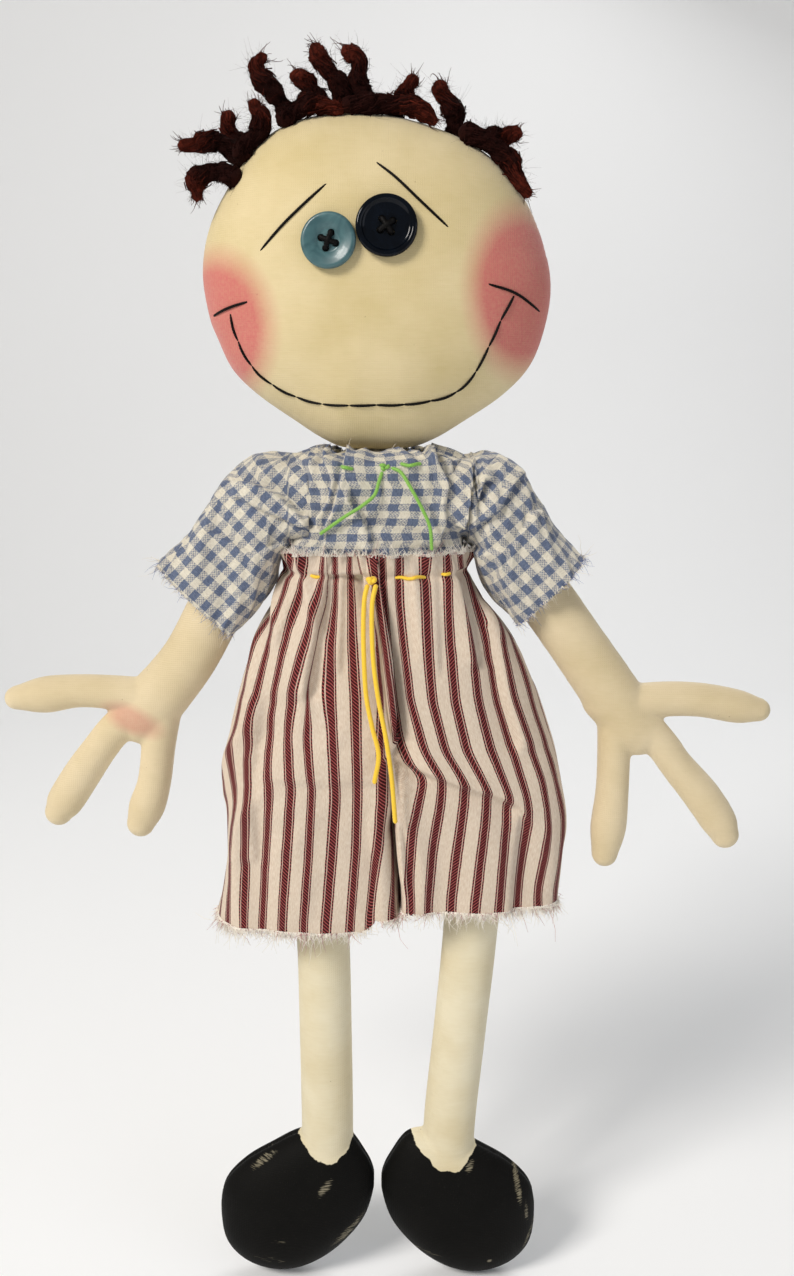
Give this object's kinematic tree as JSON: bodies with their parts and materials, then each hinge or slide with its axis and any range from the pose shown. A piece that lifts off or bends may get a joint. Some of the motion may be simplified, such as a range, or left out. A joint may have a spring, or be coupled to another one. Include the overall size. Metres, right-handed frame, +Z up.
{
  "type": "rag doll",
  "caption": "Stuffed cloth doll with button eyes, yarn hair, a checked shirt and striped trousers; head, arms and legs swing at sewn seams.",
  "frame": {"origin": "on the back of the shirt, in the middle, just under the neck, where the doll is hung up", "axes": "+Z up along the body, the face looks along -Y, +X is the doll's own left"},
  "size_m": [0.3001, 0.067, 0.5091],
  "materials": {
    "muslin": "tea-dyed plain-weave cotton, matt",
    "gingham": "homespun blue and cream checked cotton, matt",
    "ticking": "cream ticking with brown-red stripes, matt",
    "black_paint": "muslin painted black, worn at the edges, low sheen",
    "wool_yarn": "felted dark brown-red wool yarn",
    "black_floss": "black embroidery floss",
    "green_floss": "green embroidery floss",
    "yellow_floss": "ochre yellow thread",
    "teal_button": "teal polyester, polished",
    "navy_button": "near-black navy polyester, glossy"
  },
  "bodies": {
    "torso": {"torso": "muslin", "shirt_body": "gingham", "neck_stitch_left": "green_floss", "neck_stitch_right": "green_floss", "neck_knot": "green_floss", "neck_tie_left": "green_floss", "neck_tie_right": "green_floss", "waist_stitch_left": "yellow_floss", "waist_stitch_middle": "yellow_floss", "waist_stitch_right": "yellow_floss", "waist_knot": "yellow_floss", "waist_tie_left": "yellow_floss", "waist_tie_right": "yellow_floss"},
    "head": {"head": "muslin", "eye_button_left": "navy_button", "eye_button_right": "teal_button", "eye_thread_left": "black_floss", "eye_thread_right": "black_floss", "brow_stitch_left": "black_floss", "brow_stitch_right": "black_floss", "mouth_stitch": "black_floss", "smile_tick_left": "black_floss", "smile_tick_right": "black_floss", "hair_lock_1": "wool_yarn", "hair_lock_2": "wool_yarn", "hair_lock_3": "wool_yarn", "hair_lock_4": "wool_yarn", "hair_lock_5": "wool_yarn", "hair_lock_6": "wool_yarn", "hair_lock_7": "wool_yarn", "hair_lock_8": "wool_yarn", "hair_lock_9": "wool_yarn", "hair_lock_10": "wool_yarn", "hair_lock_11": "wool_yarn", "hair_lock_12": "wool_yarn", "hair_lock_13": "wool_yarn", "hair_lock_14": "wool_yarn"},
    "arm_left": {"arm_left": "muslin", "sleeve_left": "gingham"},
    "arm_right": {"arm_right": "muslin", "sleeve_right": "gingham"},
    "leg_left": {"leg_left": "muslin", "foot_left": "black_paint", "trouser_left": "ticking"},
    "leg_right": {"leg_right": "muslin", "foot_right": "black_paint", "trouser_right": "ticking"}
  },
  "joints": [
    {"name": "neck_nod", "type": "hinge", "parent": "torso", "child": "head", "pos_m": [0, -0.021, 0.0002], "axis": [1, 0, 0], "range_deg": [-12, 22], "stiffness_Nm_per_rad": 0.8, "deforming": ["shirt_body"]},
    {"name": "shoulder_left", "type": "hinge", "parent": "torso", "child": "arm_left", "pos_m": [0.0418, -0.021, -0.012], "axis": [-0.8251, 0, -0.565], "range_deg": [-45, 90], "deforming": ["sleeve_left"]},
    {"name": "shoulder_right", "type": "hinge", "parent": "torso", "child": "arm_right", "pos_m": [-0.0418, -0.021, -0.012], "axis": [-0.8387, 0, 0.5446], "range_deg": [-45, 90], "deforming": ["sleeve_right"]},
    {"name": "hip_left", "type": "hinge", "parent": "torso", "child": "leg_left", "pos_m": [0.023, -0.021, -0.088], "axis": [-1, 0, 0], "range_deg": [-25, 90], "deforming": ["trouser_left"]},
    {"name": "hip_right", "type": "hinge", "parent": "torso", "child": "leg_right", "pos_m": [-0.023, -0.021, -0.088], "axis": [-1, 0, 0], "range_deg": [-25, 90], "deforming": ["trouser_right"]}
  ]
}
